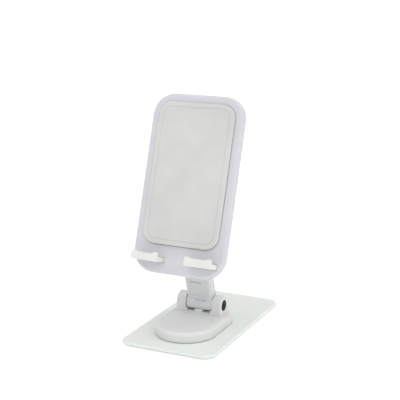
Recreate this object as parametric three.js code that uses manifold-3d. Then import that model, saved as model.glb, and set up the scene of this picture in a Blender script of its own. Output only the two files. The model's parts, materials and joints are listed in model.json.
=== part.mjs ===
// Folding phone stand: a flat base, a low pedestal that swivels on it, a short arm between two friction
// hinges, and a cradle with two hooks. +Z is up, the cradle faces -Y, and the origin is the middle of the
// base on the table.
import * as THREE from "three";
import { mergeVertices } from "three/addons/utils/BufferGeometryUtils.js";
import Module from "manifold-3d";

// ---- Driving dimensions, in millimetres and degrees ----

// Base
const baseWidth = 71.4;
const baseLength = 128;
const baseThickness = 2;
const baseCorner = 9;
const baseEdge = 0.6;
const gripPadThickness = 0.6;
const gripPadInset = 3;

// Pedestal and its swivel. The pedestal is oblong, with a round front end.
const pedestalWidth = 44.8;
const pedestalFront = -50.5;
const pedestalRear = 9.5;
const pedestalRearCorner = 9;
const pedestalTop = 10;
const pedestalLift = 0.4;
const pedestalEdge = 2.6;
const pivotY = -15;
const shellWall = 2.3;
const rotorRadius = 19;
const rotorThickness = 1.4;
const slipRingWidth = 2;
const slipRingThickness = 0.5;
const rivetRadius = 4;
const rivetHeadRadius = 6;
const rivetHeadHeight = 1.2;
const springWasherThickness = 0.5;
const collarThickness = 0.7;
const collarRadius = 8;
const rivetRimHeight = 0.65;
const wellRadius = 9.5;
const rotorScrewCount = 3;
const rotorScrewCircle = 14;
const indexMarkLength = 8;
const indexMarkTurn = 25;
const indexMarkX = 15.7;
const indexMarkY = -19;

// Hinges: both use the same bolt, nut, washers and caps
const knuckleHalf = 10.2;
const earThickness = 7;
const boltRadius = 2;
const boltHeadRadius = 3.5;
const boltHeadHeight = 2.2;
const nutAcross = 7;
const nutHeight = 2.2;
const discSpringThickness = 0.5;
const frictionWasherRadius = 4.6;
const frictionWasherThickness = 0.8;
const capRadius = 4;
const capDepth = 1;

const earRadius = 7;
const knuckleRadius = 6.2;

// Lower hinge, on the pedestal
const lowerAxisY = -1.4;
const lowerAxisZ = 16.65;
const webDepth = 3.5;
const webNotchFloor = 1.3;

// Arm
const armLean = 17.5;
const armLength = 61;
const armWidth = 20;
const armFront = 3.2;
const armBack = 5.4;
const armCorner = 2;
const armWall = 2;
const armCoverThickness = 2.2;
const armCoverBottom = 8.2;
const armCoverTop = 51;
const armStripThickness = 1.4;
const pocketInner = 3;
const pocketOuter = 9.2;
const pocketLow = -4.6;
const pocketHigh = -1.6;

// Cradle
const cradleLean = 18.74;
const panelWidth = 70;
const panelLength = 127;
const panelThickness = 6.5;
const panelCorner = 16;
const panelEdge = 2;
const panelSkin = 1.8;
const backSkin = 1.5;
const hingeAbovePanelBottom = 31.6;
const hingeBehindPanel = 10;
const frontPadThickness = 2.3;
const frontPadRecess = 0.5;
const frontPadInset = 6;
const frontPadBottom = 20;
const bracketWidth = 40;
const bracketHeight = 34;
const bracketThickness = 3;
const stiffenerHeight = 58;
const stiffenerThickness = 1;
const shellScrewInset = 7;
const shellScrewFromTop = 14;
const shellBossRadius = 3;

// Hooks that carry the phone
const hookWidth = 19.9;
const hookMiddle = 20.25;
const shelfBottomAbovePanelBottom = 7.5;
const shelfThickness = 3.6;
const phoneRoom = 7.6;
const lipThickness = 2.6;
const lipHeight = 2.1;
const lipBumpHeight = 0.8;
const lipBumpWidth = 3.8;
const hookFootThickness = 1.6;
const hookFootHeight = 3.5;
const hookFootWidth = 13;
const linerThickness = 0.6;
const linerProud = 0.2;

// Clearances
const clearance = 0.2;
const boreClearance = 0.15;
const earGap = 0.3;

// ---- Making solids ----

const wasm = await Module();
wasm.setup();

const CURVE = 3;
const ROUND = 20;
const degrees = THREE.MathUtils.degToRad;

// Closed geometry as a solid that can be joined and cut.
function solid(geometry) {
  const bare = geometry.clone();
  bare.deleteAttribute("normal");
  bare.deleteAttribute("uv");
  const merged = mergeVertices(bare, 1e-4);
  const mesh = new wasm.Mesh({
    numProp: 3,
    vertProperties: merged.attributes.position.array,
    triVerts: new Uint32Array(merged.index.array),
  });
  return new wasm.Manifold(mesh);
}

// A solid as geometry to show.
function geometryOf(body) {
  const mesh = body.getMesh();
  const geometry = new THREE.BufferGeometry();
  geometry.setAttribute("position", new THREE.BufferAttribute(mesh.vertProperties, 3));
  geometry.setIndex(new THREE.BufferAttribute(mesh.triVerts, 1));
  const flat = geometry.toNonIndexed();
  flat.computeVertexNormals();
  return flat;
}

// Where an outline's own x, y and depth point, for work along each axis.
const facing = {
  x: [new THREE.Vector3(0, 1, 0), new THREE.Vector3(0, 0, 1), new THREE.Vector3(1, 0, 0)],
  y: [new THREE.Vector3(-1, 0, 0), new THREE.Vector3(0, 0, 1), new THREE.Vector3(0, 1, 0)],
  z: [new THREE.Vector3(1, 0, 0), new THREE.Vector3(0, 1, 0), new THREE.Vector3(0, 0, 1)],
};

// An outline carried along an axis from one level to another. An edge above 0 rounds both ends.
// Along x the outline holds (y, z), along y it holds (-x, z), and along z it holds (x, y).
function slab(outline, axis, from, to, edge = 0) {
  const geometry = new THREE.ExtrudeGeometry(outline, {
    depth: to - from - 2 * edge,
    curveSegments: CURVE,
    bevelEnabled: edge > 0,
    bevelThickness: edge,
    bevelSize: edge,
    bevelOffset: -edge,
    bevelSegments: 2,
  });
  geometry.translate(0, 0, from + edge);
  geometry.applyMatrix4(new THREE.Matrix4().makeBasis(...facing[axis]));
  return solid(geometry);
}

// A profile of [radius, height] points turned about an axis. It runs anticlockwise, seen with the radius
// to the right and the height up, and starts and ends on the axis or closes on itself.
function turned(axis, profile, sides = ROUND) {
  const points = profile.map(([radius, height]) => new THREE.Vector2(radius, height));
  const geometry = new THREE.LatheGeometry(points, sides);
  geometry.rotateX(Math.PI / 2);
  geometry.applyMatrix4(new THREE.Matrix4().makeBasis(...facing[axis]));
  return solid(geometry);
}

function rod(axis, radius, from, to, sides = ROUND) {
  return turned(axis, [[0, from], [radius, from], [radius, to], [0, to]], sides);
}

function ring(axis, inner, outer, from, to) {
  return turned(axis, [[inner, from], [outer, from], [outer, to], [inner, to], [inner, from]]);
}

function box(x0, x1, y0, y1, z0, z1) {
  const geometry = new THREE.BoxGeometry(x1 - x0, y1 - y0, z1 - z0);
  geometry.translate((x0 + x1) / 2, (y0 + y1) / 2, (z0 + z1) / 2);
  return solid(geometry);
}

// A rectangle with round corners, from its lowest and highest corner.
function roundRect(x0, x1, y0, y1, radius) {
  const r = Math.min(radius, (x1 - x0) / 2 - 0.01, (y1 - y0) / 2 - 0.01);
  const outline = new THREE.Shape();
  outline.moveTo(x0 + r, y0);
  outline.lineTo(x1 - r, y0);
  outline.absarc(x1 - r, y0 + r, r, -Math.PI / 2, 0);
  outline.lineTo(x1, y1 - r);
  outline.absarc(x1 - r, y1 - r, r, 0, Math.PI / 2);
  outline.lineTo(x0 + r, y1);
  outline.absarc(x0 + r, y1 - r, r, Math.PI / 2, Math.PI);
  outline.lineTo(x0, y0 + r);
  outline.absarc(x0 + r, y0 + r, r, Math.PI, 1.5 * Math.PI);
  return outline;
}

function hexagon(across) {
  const corners = [];
  for (let side = 0; side < 6; side += 1) {
    const angle = (side * Math.PI) / 3;
    const reach = across / 2 / Math.cos(Math.PI / 6);
    corners.push(new THREE.Vector2(reach * Math.cos(angle), reach * Math.sin(angle)));
  }
  return new THREE.Shape(corners);
}

// ---- Materials ----

function finish(color, roughness, metalness = 0) {
  return new THREE.MeshStandardMaterial({ color, roughness, metalness });
}

const whitePlastic = finish(0xeeeeec, 0.45);
const whiteCoat = finish(0xf2f3ef, 0.5);
const blackPlastic = finish(0x101010, 0.2);
const paleSilicone = finish(0xdcdcd8, 0.8);
const greySilicone = finish(0x9b9c9c, 0.85);
const slipPlastic = finish(0xd8d4c4, 0.5);
const zincSteel = finish(0xb4b7ba, 0.35, 1);

// A named piece in a group.
function piece(group, name, body, material) {
  const mesh = new THREE.Mesh(geometryOf(body), material);
  mesh.name = name;
  group.add(mesh);
}

const stand = new THREE.Group();

// ---- Base: a flat steel plate on a grip pad ----

const plateTop = gripPadThickness + baseThickness;
const screwRadius = 1.25;
const screwHole = screwRadius + boreClearance;
const screwHeadRadius = 2.3;
const screwHeadHeight = 1.1;
const accessHoleRadius = screwHeadRadius + 0.7;
const swivelAt = [0, pivotY, 0];

function basePlate() {
  const outline = roundRect(-baseWidth / 2, baseWidth / 2, -baseLength / 2, baseLength / 2, baseCorner);
  const plate = slab(outline, "z", gripPadThickness, plateTop, baseEdge);
  const rivetHole = rod("z", rivetRadius + boreClearance, 0, plateTop + 1);
  const low = gripPadThickness - 0.1;
  const headRoom = turned("z", [
    [0, low],
    [rivetHeadRadius + clearance, low],
    [rivetHeadRadius + clearance, gripPadThickness + clearance],
    [rivetRadius + clearance, gripPadThickness + rivetHeadHeight + clearance],
    [0, gripPadThickness + rivetHeadHeight + clearance],
  ]);
  const access = rod("z", accessHoleRadius, 0, plateTop + 1).translate([0, -rotorScrewCircle, 0]);
  return plate.subtract(rivetHole.add(headRoom).add(access).translate(swivelAt));
}

function gripPad() {
  const halfWidth = baseWidth / 2 - gripPadInset;
  const halfLength = baseLength / 2 - gripPadInset;
  const corner = baseCorner - gripPadInset;
  return slab(roundRect(-halfWidth, halfWidth, -halfLength, halfLength, corner), "z", 0, gripPadThickness);
}

piece(stand, "base_plate", basePlate(), whiteCoat);
piece(stand, "base_grip_pad", gripPad(), greySilicone);

// ---- Swivel: a hollow-set rivet holds the rotor plate down on a slip ring ----

const swivel = new THREE.Group();
swivel.position.set(...swivelAt);
stand.add(swivel);

const rotorBottom = plateTop + slipRingThickness + clearance / 2;
const rotorTop = rotorBottom + rotorThickness;
const springWasherBottom = rotorTop + clearance / 2;
const collarBottom = springWasherBottom + springWasherThickness + clearance / 2;
const rivetRimBottom = collarBottom + collarThickness + clearance / 4;
const rivetTop = rivetRimBottom + rivetRimHeight;
const rivetHeadBottom = gripPadThickness + clearance / 2;

piece(
  swivel,
  "swivel_rivet",
  turned("z", [
    [0, rivetHeadBottom],
    [rivetHeadRadius, rivetHeadBottom],
    [rivetHeadRadius, rivetHeadBottom + clearance / 2],
    [rivetRadius, rivetHeadBottom + rivetHeadHeight],
    [rivetRadius, rivetRimBottom],
    [rivetRadius + 1.3, rivetRimBottom],
    [rivetRadius + 0.8, rivetTop],
    [0, rivetTop],
  ]),
  zincSteel,
);
piece(
  swivel,
  "swivel_slip_ring",
  ring("z", rotorRadius - slipRingWidth, rotorRadius, plateTop, plateTop + slipRingThickness),
  slipPlastic,
);

// Places of the screws that join the rotor plate to the pedestal, the first in front.
const rotorScrewPlaces = [];
for (let index = 0; index < rotorScrewCount; index += 1) {
  const angle = -Math.PI / 2 + (index * 2 * Math.PI) / rotorScrewCount;
  rotorScrewPlaces.push([rotorScrewCircle * Math.cos(angle), rotorScrewCircle * Math.sin(angle)]);
}

// A countersunk screw along an axis, with its head's face at `face` and its tip at `tip`.
function countersunkScrew(axis, face, tip, headRadius = screwHeadRadius, radius = screwRadius) {
  const way = Math.sign(tip - face);
  const profile = [
    [0, face],
    [headRadius, face],
    [headRadius, face + way * 0.2],
    [radius, face + way * screwHeadHeight],
    [radius, tip - way * radius * 0.5],
    [radius * 0.5, tip],
    [0, tip],
  ];
  return turned(axis, way > 0 ? profile : profile.reverse(), 12);
}

// The room a countersunk screw needs in what its head bears on.
function screwRoom(axis, face, tip, headRadius = screwHeadRadius, radius = screwRadius) {
  const way = Math.sign(tip - face);
  const profile = [
    [0, face - way],
    [headRadius + clearance, face - way],
    [headRadius + clearance, face + way * (0.2 + clearance)],
    [radius + boreClearance, face + way * (screwHeadHeight + clearance)],
    [radius + boreClearance, tip + way * clearance],
    [0, tip + way * clearance],
  ];
  return turned(axis, way > 0 ? profile : profile.reverse(), 12);
}

const wellTop = pedestalTop - shellWall;
const rotorScrewTip = wellTop + clearance;

let rotorPlate = ring("z", rivetRadius + boreClearance, rotorRadius, rotorBottom, rotorTop);
for (const [x, y] of rotorScrewPlaces) {
  rotorPlate = rotorPlate.subtract(screwRoom("z", rotorBottom, rotorScrewTip).translate([x, y, 0]));
}
piece(swivel, "rotor_plate", rotorPlate, zincSteel);
piece(
  swivel,
  "swivel_spring_washer",
  ring(
    "z",
    rivetRadius + clearance,
    collarRadius - 0.5,
    springWasherBottom,
    springWasherBottom + springWasherThickness,
  ),
  zincSteel,
);
piece(
  swivel,
  "swivel_collar",
  ring("z", rivetRadius + boreClearance, collarRadius, collarBottom, collarBottom + collarThickness),
  zincSteel,
);
rotorScrewPlaces.forEach(([x, y], index) => {
  const screw = countersunkScrew("z", rotorBottom + 0.05, rotorScrewTip).translate([x, y, 0]);
  piece(swivel, `rotor_screw_${index + 1}`, screw, zincSteel);
});

// ---- Pedestal: a moulded shell with the two ears of the lower hinge ----

const earInner = knuckleHalf + earGap;
const earOuter = earInner + earThickness;
const headOutside = earOuter - capDepth - clearance;
const headInside = headOutside - boltHeadHeight;
const springOutside = headInside - clearance / 2;
const headPocketFloor = springOutside - discSpringThickness - clearance / 2;
const nutOutside = -headOutside;
const nutInside = nutOutside + nutHeight;
const capPocketRadius = capRadius + boreClearance;

// What both hinges cut from a pair of ears: the bolt's bore, the head's pocket on the right, and the
// nut's pocket on the left, each closed by a round cap.
function hingePockets() {
  const bore = rod("x", boltRadius + boreClearance, -earOuter - 1, earOuter + 1);
  const headPocket = rod("x", capPocketRadius, headPocketFloor, earOuter + 1);
  const leftCapPocket = rod("x", capPocketRadius, -earOuter - 1, nutOutside - clearance / 2);
  const nutPocket = slab(hexagon(nutAcross + 2 * clearance), "x", -earOuter - 1, nutInside + clearance / 2);
  return bore.add(headPocket).add(leftCapPocket).add(nutPocket);
}

// A pair of ears, round about the hinge axis, that run from it down to a foot.
function earPair(foot) {
  const outline = new THREE.Shape();
  outline.moveTo(-earRadius, -foot);
  outline.lineTo(earRadius, -foot);
  outline.lineTo(earRadius, 0);
  outline.absarc(0, 0, earRadius, 0, Math.PI);
  outline.lineTo(-earRadius, -foot);
  const right = slab(outline, "x", earInner, earOuter);
  return [right, right.translate([-earInner - earOuter, 0, 0])];
}

const shellBottom = plateTop + pedestalLift;
const rotorSeat = rotorTop + clearance;
const lowerAxisFromSwivel = lowerAxisY - pivotY;

// The pedestal's outline about the swivel's axis: a half circle in front, straight sides, and a squarer rear.
function pedestalOutline() {
  const half = pedestalWidth / 2;
  const middle = pedestalFront + half - pivotY;
  const rear = pedestalRear - pivotY;
  const corner = pedestalRearCorner;
  const outline = new THREE.Shape();
  outline.moveTo(half, middle);
  outline.absarc(half - corner, rear - corner, corner, 0, Math.PI / 2);
  outline.absarc(corner - half, rear - corner, corner, Math.PI / 2, Math.PI);
  outline.absarc(0, middle, half, Math.PI, 1.5 * Math.PI);
  outline.absarc(0, middle, half, 1.5 * Math.PI, 2 * Math.PI);
  return outline;
}

// A low web that joins the lower ears in front of the knuckle. It is hollowed round the knuckle, stays under
// the folded arm, and has a notch in front of each of the knuckle's pockets.
function earWeb() {
  const top = lowerAxisZ - armFront - clearance;
  const half = earInner + 0.5;
  const back = webDepth - earRadius;
  let web = box(-half, half, -earRadius, back, pedestalTop - 0.5, top);
  for (const [x0, x1] of [[-pocketOuter, -pocketInner], [pocketInner, pocketOuter]]) {
    web = web.subtract(box(x0, x1, -earRadius - 1, back + 1, pedestalTop + webNotchFloor, top + 1));
  }
  const knuckleRoom = rod("x", knuckleRadius + clearance, -earInner, earInner, 32);
  return web.subtract(knuckleRoom.translate([0, 0, lowerAxisZ]));
}

function pedestalShell() {
  const axisPlace = [0, lowerAxisFromSwivel, lowerAxisZ];
  const below = shellBottom - 2 * pedestalEdge;
  let shell = slab(pedestalOutline(), "z", below, pedestalTop, pedestalEdge);
  shell = shell.subtract(box(-100, 100, -100, 100, below - 1, shellBottom));
  for (const ear of earPair(lowerAxisZ - rotorSeat)) {
    shell = shell.add(ear.translate(axisPlace));
  }
  shell = shell.add(earWeb().translate([0, lowerAxisFromSwivel, 0]));
  shell = shell.subtract(hingePockets().translate(axisPlace));
  shell = shell.subtract(rod("z", rotorRadius + clearance, 0, rotorSeat, 40));
  shell = shell.subtract(rod("z", wellRadius, 0, wellTop));
  for (const [x, y] of rotorScrewPlaces) {
    shell = shell.subtract(rod("z", screwHole, 0, rotorScrewTip + clearance, 12).translate([x, y, 0]));
  }
  const reach = indexMarkLength / 2;
  const mark = box(-0.35, 0.35, -reach, reach, pedestalTop - 0.3, pedestalTop + 1);
  return shell.subtract(mark.rotate([0, 0, indexMarkTurn]).translate([indexMarkX, indexMarkY - pivotY, 0]));
}

piece(swivel, "pedestal_shell", pedestalShell(), whitePlastic);

// ---- Hinge hardware, the same in both hinges ----

function hingeBolt() {
  const tip = nutOutside + clearance / 2;
  const head = headOutside;
  const socketRadius = 1.4;
  const bolt = turned("x", [
    [0, tip],
    [boltRadius - 0.4, tip],
    [boltRadius, tip + 0.4],
    [boltRadius, headInside],
    [boltHeadRadius, headInside],
    [boltHeadRadius, head - 0.3],
    [boltHeadRadius - 0.3, head],
    [0, head],
  ]);
  return bolt.subtract(slab(hexagon(2 * socketRadius), "x", head - 1.3, head + 1));
}

function hingeNut() {
  const nut = slab(hexagon(nutAcross), "x", nutOutside, nutInside);
  return nut.subtract(rod("x", boltRadius + 0.1, nutOutside - 1, nutInside + 1));
}

function hingeCap(side) {
  const floor = earOuter - capDepth;
  const cap = turned("x", [
    [0, floor],
    [capRadius, floor],
    [capRadius, earOuter - 0.2],
    [capRadius - 0.3, earOuter + 0.1],
    [0, earOuter + 0.25],
  ]);
  return side > 0 ? cap : cap.rotate([0, 0, 180]);
}

function frictionWasher(side) {
  const outside = earInner - clearance / 2;
  const from = outside - frictionWasherThickness;
  const washer = ring("x", boltRadius + boreClearance, frictionWasherRadius, from, outside);
  return side > 0 ? washer : washer.rotate([0, 0, 180]);
}

function discSpring() {
  const from = springOutside - discSpringThickness;
  return ring("x", boltRadius + boreClearance, boltHeadRadius, from, springOutside);
}

function addHingeHardware(group, prefix) {
  piece(group, `${prefix}_hinge_bolt`, hingeBolt(), zincSteel);
  piece(group, `${prefix}_hinge_nut`, hingeNut(), zincSteel);
  piece(group, `${prefix}_hinge_disc_spring`, discSpring(), zincSteel);
  piece(group, `${prefix}_friction_washer_right`, frictionWasher(1), slipPlastic);
  piece(group, `${prefix}_friction_washer_left`, frictionWasher(-1), slipPlastic);
  piece(group, `${prefix}_hinge_cap_right`, hingeCap(1), blackPlastic);
  piece(group, `${prefix}_hinge_cap_left`, hingeCap(-1), blackPlastic);
}

const lowerHinge = new THREE.Group();
lowerHinge.position.set(0, lowerAxisFromSwivel, lowerAxisZ);
swivel.add(lowerHinge);
addHingeHardware(lowerHinge, "lower");

// ---- Arm: a body with a knuckle at each end, a steel strip inside and a front cover ----

const arm = new THREE.Group();
arm.rotation.x = degrees(armLean);
lowerHinge.add(arm);

const coverBack = -armFront + armCoverThickness;
const channelBack = armBack - armWall;
const stripBack = channelBack - clearance;
const stripFront = stripBack - armStripThickness;
const armScrewHeights = [armCoverBottom + 11, armCoverTop - 11];
const armBossRadius = 2.6;
const armBossBack = stripFront - clearance;

// The arm's full outline, which the body and the front cover share.
function armBlock(from, to) {
  const outline = roundRect(-armWidth / 2, armWidth / 2, -armFront, armBack, armCorner);
  return slab(outline, "z", from, to);
}

// A groove with a round dimple at one or both ends, cut from the front to a depth behind the arm's face.
function faceMark(fromX, toX, grooveHalf, dimpleRadius, dimples, depth) {
  const front = -knuckleRadius - 1;
  const back = -armFront + depth;
  let mark = box(fromX, toX, front, back, -grooveHalf, grooveHalf);
  for (const x of dimples) {
    mark = mark.add(rod("y", dimpleRadius, front, back, 12).translate([x, 0, 0]));
  }
  return mark;
}

function armBody() {
  let body = armBlock(0, armLength);
  for (const height of [0, armLength]) {
    body = body.add(rod("x", knuckleRadius, -knuckleHalf, knuckleHalf, 32).translate([0, 0, height]));
  }
  const half = armWidth / 2 + 1;
  const coverRoom = box(-half, half, -armFront - 4, coverBack + clearance, armCoverBottom, armCoverTop);
  body = body.subtract(coverRoom);
  const inner = armWidth / 2 - armWall - 1;
  const channel = box(-inner, inner, coverBack, channelBack, armCoverBottom + armWall, armCoverTop - armWall);
  body = body.subtract(channel);
  for (const height of [0, armLength]) {
    const bore = rod("x", boltRadius + boreClearance, -knuckleHalf - 1, knuckleHalf + 1);
    body = body.subtract(bore.translate([0, 0, height]));
    for (const side of [-1, 1]) {
      const seat = earInner - clearance / 2 - frictionWasherThickness - clearance / 2;
      const recess = rod("x", frictionWasherRadius + clearance, seat, knuckleHalf + 1);
      const turnedRecess = side > 0 ? recess : recess.rotate([0, 0, 180]);
      body = body.subtract(turnedRecess.translate([0, 0, height]));
    }
  }
  // Coring pockets low on the front of the lower knuckle, either side of a middle rib
  const pocketBack = -boltRadius - 2.2;
  for (const [x0, x1] of [[-pocketOuter, -pocketInner], [pocketInner, pocketOuter]]) {
    body = body.subtract(box(x0, x1, -knuckleRadius - 1, pocketBack, pocketLow, pocketHigh));
  }
  body = body.subtract(faceMark(-3, 4, 0.5, 0.9, [-3, 4], 0.2).translate([0, 0, 4.9]));
  for (const height of armScrewHeights) {
    body = body.subtract(screwRoom("y", armBack, coverBack).translate([0, 0, height]));
  }
  return body;
}

function armFrontCover() {
  const gap = clearance / 2;
  const half = armWidth / 2 + 1;
  const front = -armFront - 1;
  const keep = box(-half, half, front, coverBack, armCoverBottom + gap, armCoverTop - gap);
  let cover = armBlock(0, armLength).intersect(keep);
  for (const height of armScrewHeights) {
    cover = cover.add(rod("y", armBossRadius, coverBack - 0.5, armBossBack).translate([0, 0, height]));
  }
  for (const height of armScrewHeights) {
    cover = cover.subtract(rod("y", screwHole, coverBack - clearance, armBossBack + 1, 12).translate([0, 0, height]));
  }
  return cover.subtract(faceMark(-4.5, 3, 0.4, 0.9, [-4.5], 0.7).translate([0, 0, 19.7]));
}

function armStrip() {
  const half = armWidth / 2 - armWall - 1 - clearance;
  const low = armCoverBottom + armWall + clearance;
  const high = armCoverTop - armWall - clearance;
  let strip = box(-half, half, stripFront, stripBack, low, high);
  for (const height of armScrewHeights) {
    strip = strip.subtract(rod("y", screwHole, stripFront - 1, stripBack + 1, 12).translate([0, 0, height]));
  }
  return strip;
}

piece(arm, "arm_body", armBody(), whitePlastic);
piece(arm, "arm_front_cover", armFrontCover(), whitePlastic);
piece(arm, "arm_steel_strip", armStrip(), zincSteel);
armScrewHeights.forEach((height, index) => {
  const screw = countersunkScrew("y", armBack - 0.05, coverBack + 0.05).translate([0, 0, height]);
  piece(arm, `arm_screw_${index + 1}`, screw, zincSteel);
});

// ---- Cradle: seen in its own frame, with the upper hinge axis at the origin and the phone on -y ----

const cradle = new THREE.Group();
cradle.position.set(0, 0, armLength);
cradle.rotation.x = degrees(-armLean - cradleLean);
arm.add(cradle);
addHingeHardware(cradle, "upper");

const panelBack = -hingeBehindPanel;
const panelFront = panelBack - panelThickness;
const panelBottom = -hingeAbovePanelBottom;
const panelTop = panelBottom + panelLength;
const cavityFront = panelFront + panelSkin;
const shellJoint = panelBack - backSkin;
const cavityInset = 3;
const padInner = panelFront + frontPadRecess;
const padFace = padInner - frontPadThickness;
const shelfBottom = panelBottom + shelfBottomAbovePanelBottom;
const shelfTop = shelfBottom + shelfThickness;
const footFront = cavityFront + clearance;
const footBack = footFront + hookFootThickness;
const shelfEnd = footFront + 0.4;
const stiffenerFront = footBack + clearance;
const stiffenerBack = stiffenerFront + stiffenerThickness;
const stiffenerBottom = shelfTop + 4;
const stiffenerTop = stiffenerBottom + stiffenerHeight;
const stiffenerHalf = panelWidth / 2 - shellScrewInset - shellBossRadius - 1;
const lowScrewHeight = shelfTop + shellBossRadius + 5;

const shellScrewPlaces = [];
const bracketScrewPlaces = [];
for (const side of [-1, 1]) {
  for (const height of [lowScrewHeight, panelTop - shellScrewFromTop]) {
    shellScrewPlaces.push([side * (panelWidth / 2 - shellScrewInset), height]);
  }
  for (const height of [-bracketHeight / 2 + 4, bracketHeight / 2 - 4]) {
    bracketScrewPlaces.push([side * (bracketWidth / 2 - 4), height]);
  }
}
const bracketScrewRadius = 1.5;
const bracketScrewHead = 2.8;
const bracketBack = panelBack + clearance + bracketThickness;
const bracketScrewTip = stiffenerFront - clearance;

function panelOutline(inset, corner) {
  const half = panelWidth / 2 - inset;
  return roundRect(-half, half, panelBottom + inset, panelTop - inset, corner);
}

// The panel's full rounded form, which the two shells divide between them.
function panelForm() {
  return slab(panelOutline(0, panelCorner), "y", panelFront, panelBack, panelEdge);
}

function frontPadOutline(gap) {
  const half = panelWidth / 2 - frontPadInset + gap;
  const low = panelBottom + frontPadBottom - gap;
  return roundRect(-half, half, low, panelTop - frontPadInset + gap, panelCorner - frontPadInset + gap);
}

function hookRange(side) {
  const middle = side * hookMiddle;
  return [middle - hookWidth / 2, middle + hookWidth / 2];
}

function cradleFrontShell() {
  const half = panelWidth / 2 + 1;
  const jointFace = shellJoint - clearance / 2;
  const keep = box(-half, half, panelFront - 1, jointFace, panelBottom - 1, panelTop + 1);
  let shell = panelForm().intersect(keep);
  shell = shell.subtract(
    slab(panelOutline(cavityInset, panelCorner - cavityInset), "y", cavityFront, panelBack),
  );
  for (const [x, z] of shellScrewPlaces) {
    const boss = rod("y", shellBossRadius, cavityFront - 0.5, jointFace, 12);
    const hole = rod("y", screwHole, cavityFront, jointFace + 1, 12);
    shell = shell.add(boss.translate([x, 0, z])).subtract(hole.translate([x, 0, z]));
  }
  shell = shell.subtract(slab(frontPadOutline(clearance), "y", panelFront - 1, padInner + clearance));
  for (const side of [-1, 1]) {
    const [x0, x1] = hookRange(side);
    const low = shelfBottom - clearance;
    const slot = box(x0 - clearance, x1 + clearance, panelFront - 1, cavityFront + 1, low, shelfTop + clearance);
    shell = shell.subtract(slot);
  }
  return shell;
}

function cradleBackShell() {
  const half = panelWidth / 2 + 1;
  const keep = box(-half, half, shellJoint, panelBack + 1, panelBottom - 1, panelTop + 1);
  let shell = panelForm().intersect(keep);
  for (const [x, z] of shellScrewPlaces) {
    shell = shell.subtract(screwRoom("y", panelBack, shellJoint - 1).translate([x, 0, z]));
  }
  for (const [x, z] of bracketScrewPlaces) {
    const hole = rod("y", bracketScrewRadius + boreClearance, shellJoint - 1, panelBack + 1, 12);
    shell = shell.subtract(hole.translate([x, 0, z]));
  }
  return shell;
}

function cradleStiffener() {
  const outline = roundRect(-stiffenerHalf, stiffenerHalf, stiffenerBottom, stiffenerTop, 5);
  let plate = slab(outline, "y", stiffenerFront, stiffenerBack);
  for (const [x, z] of bracketScrewPlaces) {
    const hole = rod("y", bracketScrewRadius + boreClearance, stiffenerFront - 1, stiffenerBack + 1, 12);
    plate = plate.subtract(hole.translate([x, 0, z]));
  }
  return plate;
}

function hingeBracket() {
  const half = bracketWidth / 2;
  const outline = roundRect(-half, half, -bracketHeight / 2, bracketHeight / 2, 5);
  const seat = panelBack + clearance;
  let bracket = slab(outline, "y", seat, bracketBack);
  // The ears are drawn standing on a foot below the axis, then turned to stand on the bracket's plate
  for (const ear of earPair(-seat - 0.5)) {
    bracket = bracket.add(ear.rotate([-90, 0, 0]));
  }
  bracket = bracket.subtract(hingePockets());
  for (const [x, z] of bracketScrewPlaces) {
    const room = screwRoom("y", bracketBack, seat - 1, bracketScrewHead, bracketScrewRadius);
    bracket = bracket.subtract(room.translate([x, 0, z]));
  }
  return bracket;
}

// Side view of a hook in (y, z): a shelf, and a lip in front of the phone.
function hookOutline() {
  const inner = padFace - phoneRoom;
  const outer = inner - lipThickness;
  const top = shelfTop + lipHeight;
  const outline = new THREE.Shape();
  outline.moveTo(shelfEnd, shelfBottom);
  outline.lineTo(shelfEnd, shelfTop);
  outline.lineTo(inner, shelfTop);
  outline.absarc(inner - 0.6, top - 0.6, 0.6, 0, Math.PI / 2);
  outline.absarc(outer + 1.2, top - 1.2, 1.2, Math.PI / 2, Math.PI);
  outline.absarc(outer + 1.5, shelfBottom + 1.5, 1.5, Math.PI, 1.5 * Math.PI);
  outline.lineTo(shelfEnd, shelfBottom);
  return outline;
}

function hook(side) {
  const [x0, x1] = hookRange(side);
  const middle = (x0 + x1) / 2;
  const inner = padFace - phoneRoom;
  const outer = inner - lipThickness;
  let body = slab(hookOutline(), "x", x0, x1);
  for (const from of [x0, x1 - lipBumpWidth]) {
    const low = shelfTop + lipHeight - 1;
    const bump = roundRect(outer + 0.3, inner - 0.2, low, shelfTop + lipHeight + lipBumpHeight, 0.7);
    body = body.add(slab(bump, "x", from, from + lipBumpWidth));
  }
  const half = hookFootWidth / 2;
  const footTop = shelfTop + hookFootHeight;
  body = body.add(box(middle - half, middle + half, footFront, footBack, shelfBottom, footTop));
  return body.subtract(hookLinerForm(side, 0.1));
}

// A thin pad let into the shelf, standing a little above it.
function hookLinerForm(side, gap) {
  const [x0, x1] = hookRange(side);
  const inset = 1.5;
  const from = padFace - phoneRoom + inset - gap;
  const to = panelFront - inset + gap;
  const top = shelfTop + linerProud;
  const outline = roundRect(x0 + inset - gap, x1 - inset + gap, from, to, 1.2);
  return slab(outline, "z", top - linerThickness - gap, top);
}

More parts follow.
